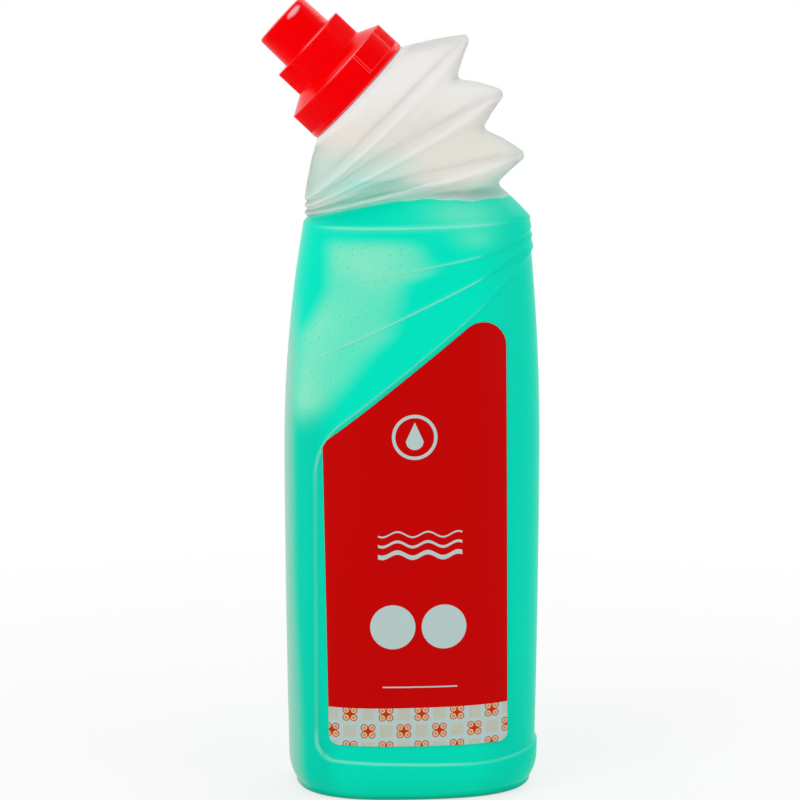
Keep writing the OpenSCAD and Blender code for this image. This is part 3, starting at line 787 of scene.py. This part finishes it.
plug = bore_radius - 0.08
nozzle_profile = softened([
    (plug - 0.6, 11.4), (plug - 0.1, 11.5), (plug, 12.4), (plug, finish_height), (12.1, finish_height),
    (12.1, seat_top), (7.4, seat_top), (6.9, 21.6), (4.7, spout_top - 0.6), (4.2, spout_top),
    (2.5, spout_top), (2.5, 31.7), (6.0, 20.6), (6.0, 19.6), (9.0, 18.8), (plug - 1.0, 11.4),
    (plug - 0.6, 11.4)], 0.35)[:-1]
nozzle = lofted("nozzle_insert_moulding", turned(nozzle_profile, 96), "bottle", joined=True)
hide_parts("nozzle_insert")
nozzle_material, tree, shader = principled("natural_polyethylene")
tree.links.new(shader_mix(tree, noise_value(tree, 160.0), (0.80, 0.80, 0.77), (0.88, 0.88, 0.85)),
               shader.inputs["Base Color"])
set_values(shader, Roughness=0.38, IOR=1.5, Subsurface_Weight=0.3, Subsurface_Radius=(0.003, 0.003, 0.003),
           Subsurface_Scale=1.0)
bumped(tree, shader, noise_value(tree, 1400.0), 0.1, 0.0002)
nozzle.data.materials.append(nozzle_material)

# Cap. Glossy red polypropylene in three tiers, with fine ribs on the wide ring and the middle
# tier. It screws on the neck; two smooth framed pads are squeezed to free it from the stop lugs.

skirt_radius = 20.7
tier_radius = 14.0
cap_base = 0.25
ring_top = 10.4
tier_foot = 13.6
tier_top = 23.25
tip_top = 35.75
tip_inner = 34.45
skirt_ribs = 144
tier_ribs = 108
rib_depth = 0.18
pad_sink = 0.12
frame_rise = 0.12
pad_half_angle = math.radians(19)
pad_middle = math.radians(127)
frame_gap = math.radians(2.6)
cap_columns = 1296


def pad_distance(angle):
    """Turn from each angle to the middle of the nearer of the two pads."""
    return np.abs((angle - pad_middle + math.pi / 2) % math.pi - math.pi / 2)


def frame_lines(away, reach):
    """Double line at each side of a pad, each a Gauss curve of its reach over the turn."""
    outer_line = np.exp(-((away - pad_half_angle) / math.radians(reach)) ** 2)
    return outer_line + np.exp(-((away - pad_half_angle + frame_gap) / math.radians(reach)) ** 2)


def v_ribs(angle, count):
    """V ribs round the cap: -1 in a groove and 0 on a crest."""
    return np.abs((angle * count / (2 * math.pi)) % 1 - 0.5) * 2 - 1


def ribbed(radius, height, angle):
    """Radius of the cap at each turn: fine V ribs round the wide ring but for its two pads, a
    double frame line at each side of a pad, and finer ribs round the middle tier."""
    r = np.full(len(angle), float(radius))
    if abs(radius - skirt_radius) < 0.03 and 2.4 < height < ring_top - 0.1:
        away = pad_distance(angle)
        ribs = eased((away - pad_half_angle - math.radians(1.5)) / math.radians(0.8))
        r += (ribs * v_ribs(angle, skirt_ribs) * rib_depth - (1 - ribs) * pad_sink
              + frame_lines(away, 0.5) * frame_rise)
    if abs(radius - tier_radius) < 0.03 and tier_foot + 0.3 < height < tier_top - 0.1:
        r += v_ribs(angle, tier_ribs) * rib_depth
    return r


cap_profile = (
    [(19.4, 0.5), (19.9, cap_base), (20.55, cap_base), (20.78, 0.4), (20.82, 0.7), (20.82, 2.0),
     (20.72, 2.2), (20.45, 2.25), (skirt_radius, 2.35)]
    + [(skirt_radius, h) for h in (2.5, 2.8, 5.0, 8.0, 9.8, 10.1, 10.25)]
    + [(20.5, 10.42), (20.0, 10.6), (17.3, 12.0), (14.5, 13.35), (14.15, 13.62), (tier_radius, 13.75)]
    + [(tier_radius, h) for h in (14.1, 17.0, 20.0, 22.65, 22.9, 23.1)]
    + [(13.8, 23.25), (13.4, 23.3), (11.5, 23.3), (10.45, 23.36), (10.22, 23.5), (10.16, 23.9),
       (10.05, 29.0), (9.97, 32.6), (9.96, 33.0), (9.94, 33.5), (9.93, 34.0), (9.92, 34.4),
       (9.86, 34.8), (9.65, 35.15), (9.2, 35.38), (8.2, 35.5), (6.0, 35.62), (3.0, 35.72),
       (0.02, tip_top)])
cap_inside = [(0.02, 32.1), (1.9, 32.1), (2.15, 32.5), (2.15, tip_inner - 0.3), (2.5, tip_inner),
              (7.9, tip_inner), (8.5, 33.9), (8.85, 22.2), (8.9, 21.5), (12.2, 21.35), (12.65, 21.0),
              (12.65, 12.0), (12.65, 3.0), (13.0, 2.75), (13.6, 2.75), (13.95, 3.0), (13.95, 11.6),
              (15.0, 11.2), (18.6, 9.5), (19.2, 8.9), (19.2, 2.0), (19.2, 0.8)]
cap = lofted("screw_cap", turned(cap_inside, cap_columns) + turned(cap_profile, cap_columns, ribbed), "cap")

# Glint: light caught along the rim, on the upper ends of the ribs, on the lines that frame the pads
# and in a lens near the end of the tip
cap_turns = np.linspace(0, 2 * math.pi, cap_columns, endpoint=False)
glint = [np.zeros(cap_columns)] * len(cap_inside)
away = pad_distance(cap_turns)
for radius, height in cap_profile:
    crest = np.clip(1 + (ribbed(radius, height, cap_turns) - radius) / rib_depth, 0, 1) ** 4
    near = math.exp(-((height - 10.3) / 0.2) ** 2) + math.exp(-((height - 23.15) / 0.2) ** 2)
    near = near * (0.03 + 0.97 * np.exp(-((cap_turns - math.radians(284)) / math.radians(26)) ** 4))
    rim = 0.4 * math.exp(-((height - 0.45) / 0.12) ** 2) * (radius > 20.4)
    low_line = (abs(height - 2.5) < 0.1) * (away < pad_half_angle)
    framing = 0.2 * (frame_lines(away, 0.3) + 0.5 * low_line)
    framing = framing * (2.4 < height < 10.2) * (radius > 20.4)
    lens = 1 - ((cap_turns - math.radians(297)) / math.radians(22)) ** 2 - ((height - 33.8) / 1.0) ** 2
    glint.append(crest * near + rim + framing + 1.5 * np.maximum(lens, 0) * (radius > 9))
glint = np.concatenate([np.concatenate(glint), [0, 0]]).clip(0, 1)
cap.data.attributes.new("glint", "FLOAT", "POINT").data.foreach_set("value", glint.astype(np.float32))
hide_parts("cap")
cap_material, tree, shader = principled("red_polypropylene")
red = shader_mix(tree, noise_value(tree, 60.0), (0.96, 0.0, 0.0), (1.0, 0.0, 0.001))
tree.links.new(shader_mix(tree, attribute_value(tree, "glint"), red, (1.0, 0.42, 0.46)),
               shader.inputs["Base Color"])
set_values(shader, Roughness=0.2, IOR=1.12, Specular_IOR_Level=1.0,
           Specular_Tint=(1.0, 0.1, 0.3, 1.0), Subsurface_Weight=0.1,
           Subsurface_Radius=(0.004, 0.001, 0.001), Subsurface_Scale=1.0)
bumped(tree, shader, noise_value(tree, 700.0), 0.03, 0.0002)
cap.data.materials.append(cap_material)

# Front label. A printed satin film in the recess, with a sloping upper edge that follows the
# recess: a red field over a band of small tiles, and a plain emblem, waves and two pale discs.

label_bottom = 20.0
label_half_width = 30.2
label_corner = 3.0
label_round = 8.0
label_gap = 3.2
label_zero = (recess_line[0] + recess_line[1]) / 2 - label_gap
label_right_top = label_half_width - 1.4
round_x = label_right_top - label_round
round_z = label_zero + recess_slope * round_x - label_round * math.hypot(1, recess_slope)
tangent_z = round_z + label_round / math.hypot(1, recess_slope)


def label_edges(z):
    """Left and right edge of the label at heights z: two nearly upright sides with rounded lower
    corners, the sloping upper edge, and the large rounded corner at the upper right."""
    up = np.maximum(label_bottom + label_corner - z, 0)
    corner = label_corner - np.sqrt(np.maximum(label_corner ** 2 - up ** 2, 0))
    reach = np.sqrt(np.maximum(label_round ** 2 - (z - round_z) ** 2, 0))
    left = np.maximum(-label_half_width - 0.017 * (z - label_bottom) + corner,
                      (z - label_zero) / recess_slope)
    left = np.where(z > tangent_z, round_x - reach, left)
    right = label_half_width - 0.0106 * (z - label_bottom) - corner
    right = np.where(z > round_z, np.minimum(right, round_x + reach), right)
    return left, right


def label_skin(inset):
    """Grid of points of one face of the label on the body's front, moved in by inset."""
    rows = np.concatenate([label_bottom + label_corner * (1 - np.cos(np.linspace(0, math.pi / 2, 7))),
                           np.linspace(label_bottom + label_corner, 116.0, 30)[1:],
                           np.linspace(116.0, 126.0, 34)[1:], np.linspace(126.0, tangent_z, 24)[1:],
                           round_z + label_round * np.sin(np.linspace(
                               math.asin((tangent_z - round_z) / label_round), math.pi / 2 - 0.02, 9))[1:]])
    left, right = label_edges(rows)
    f = np.linspace(0, 1, 61)
    x = left[:, None] + (right - left)[:, None] * f
    z = rows[:, None] + 0 * x
    l = half_width - draw_in(z, left_draw) - inset
    r = half_width - draw_in(z, right_draw) - inset
    c = np.abs(2 * (x + l) / (l + r) - 1)
    y = -(half_depth - draw_in(z, depth_draw) - inset) * (1 - c ** body_square) ** (1 / body_square)
    return np.stack([x, y, z], axis=-1)


def film_mesh(name, front, back, body):
    """Closed thin film between two grids of points: both faces and a strip round the edge."""
    rows, columns = front.shape[:2]
    size = rows * columns
    i, j = np.meshgrid(np.arange(rows - 1), np.arange(columns - 1), indexing="ij")
    a = (i * columns + j).ravel()
    faces = [np.stack([a, a + 1, a + columns + 1, a + columns], axis=-1),
             np.stack([a, a + columns, a + columns + 1, a + 1], axis=-1) + size]
    rim = np.concatenate([np.arange(columns), np.arange(1, rows) * columns + columns - 1,
                          (rows - 1) * columns + np.arange(columns - 2, -1, -1),
                          np.arange(rows - 2, 0, -1) * columns])
    after = np.roll(rim, -1)
    faces.append(np.stack([rim, rim + size, after + size, after], axis=-1))
    smooth = np.concatenate([np.ones(len(faces[0]) * 2, bool), np.zeros(len(rim), bool)])
    return new_piece(name, np.concatenate([front.reshape(-1, 3), back.reshape(-1, 3)]),
                     np.concatenate(faces).tolist(), body, smooth)


label = film_mesh("front_label_film", label_skin(recess_depth - 0.37),
                  label_skin(recess_depth - 0.22), "bottle")
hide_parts("front_label")

label_material, tree, shader = principled("printed_film")
across, along, up = millimetres(tree)


def soft_edge(inside, width=0.08):
    """1 where a distance in mm is inside the edge, 0 outside, with a soft print edge."""
    return shader_math(tree, "MULTIPLY_ADD", inside, 1 / width, 0.5, clamp=True)


def absolute(value):
    """Size of a value."""
    return shader_math(tree, "ABSOLUTE", value)


def within(half, value, width=0.08):
    """Printed where the size of a value in mm is under a half width."""
    return soft_edge(difference(tree, half, absolute(value)), width)


def length_of(dx, dz):
    """Length in mm of a step across and up."""
    return shader_math(tree, "SQRT", shader_math(tree, "ADD", product(tree, dx, dx), product(tree, dz, dz)))


def distance_to(px, pz):
    """Distance in mm from a point of the print."""
    return length_of(difference(tree, across, px), difference(tree, up, pz))


def either(a, b):
    """Where one mask or the other prints."""
    return shader_math(tree, "MAXIMUM", a, b)


# Emblem: a ring round a plain drop, whose radius shrinks towards its tip, and two discs low down
emblem_x, emblem_z = -1.9, 125.0
drop_up = difference(tree, up, emblem_z - 1.3)
tip = product(tree, shader_math(tree, "MAXIMUM", drop_up, 0.0), 0.62)
narrow = difference(tree, 2.9, product(tree, tip, 0.75))
low = shader_math(tree, "MINIMUM", drop_up, 0.0)
drop = soft_edge(difference(tree, narrow, length_of(difference(tree, across, emblem_x), low)))
ring_radius, ring_breadth = 6.95, 1.1
pale = within(ring_breadth / 2, difference(tree, distance_to(emblem_x, emblem_z), ring_radius))
pale = either(pale, drop)
disc_z, disc_radius = 61.1, 7.5
for px in (-9.1, 8.0):
    pale = either(pale, soft_edge(difference(tree, disc_radius, distance_to(px, disc_z))))

# Waves across the middle of the field, and one fine rule low down
wave_half, rule_half = 14.0, 12.5
swell = product(tree, shader_math(tree, "SINE", product(tree, across, 0.62)), 0.9)
for level, width in ((92.5, 0.55), (89.2, 0.9), (85.6, 1.5)):
    wave = within(width / 2, difference(tree, difference(tree, up, level), swell))
    pale = either(pale, product(tree, wave, within(wave_half, across)))
rule = product(tree, within(0.22, difference(tree, up, 40.5)), within(rule_half, across))
pale = either(pale, rule)
pale_ink = (0.485, 0.62, 0.60)
field = shader_mix(tree, pale, (0.57, 0.0, 0.0), pale_ink)

# Band of small tiles: four ringed lobes round a four-pointed star, by turns with a faint square
tilt = 0.0104
tile = 5.97
tile_rise = 5.88
band_up = difference(tree, up, product(tree, across, tilt))


def cell(value, shift, pitch):
    """Number of the tile that a value in mm lies in, and its distance from that tile's middle."""
    at = shader_math(tree, "DIVIDE", shader_math(tree, "ADD", value, shift + 30 * pitch), pitch)
    number = shader_math(tree, "ROUND", at)
    return number, absolute(product(tree, difference(tree, at, number), pitch))


column_no, side_x = cell(across, 23.3, tile)
row_no, side_z = cell(band_up, -31.3, tile_rise)
odd = shader_math(tree, "MODULO", shader_math(tree, "ADD", column_no, row_no), 2.0)
lobe = length_of(difference(tree, side_x, 1.25), difference(tree, side_z, 1.25))
lobe_fill = soft_edge(difference(tree, 1.22, lobe), 0.1)
lobe_ring = within(0.17, difference(tree, lobe, 1.05), 0.06)
stripe = shader_math(tree, "SINE", product(tree, difference(tree, side_x, side_z), 11.0))
lobe_core = product(tree, soft_edge(difference(tree, 0.62, lobe), 0.08),
                    shader_math(tree, "MULTIPLY_ADD", stripe, 0.4, 0.6))
star = shader_math(tree, "ADD", shader_math(tree, "POWER", side_x, 0.6),
                   shader_math(tree, "POWER", side_z, 0.6))
star = soft_edge(difference(tree, 1.35, star), 0.2)
cream, rust = (0.84, 0.66, 0.40), (0.46, 0.035, 0.004)
red_tile = shader_mix(tree, lobe_fill, pale_ink, cream)
red_tile = shader_mix(tree, either(lobe_ring, lobe_core), red_tile, rust)
red_tile = shader_mix(tree, star, red_tile, (0.58, 0.035, 0.003))
square = soft_edge(difference(tree, 2.05, either(side_x, side_z)), 0.5)
faint = product(tree, square, shader_math(tree, "MULTIPLY_ADD", noise_value(tree, 1500.0), 0.9, 0.1))
faint_tile = shader_mix(tree, faint, pale_ink, (0.56, 0.48, 0.33))
tiles = shader_mix(tree, odd, red_tile, faint_tile)
band_top = 33.3
in_band = soft_edge(difference(tree, band_top, band_up))
tree.links.new(shader_mix(tree, in_band, field, tiles), shader.inputs["Base Color"])
set_values(shader, Roughness=0.45, IOR=1.45, Specular_IOR_Level=0.05)
bumped(tree, shader, noise_value(tree, 1600.0), 0.1, 0.0002)
label.data.materials.append(label_material)
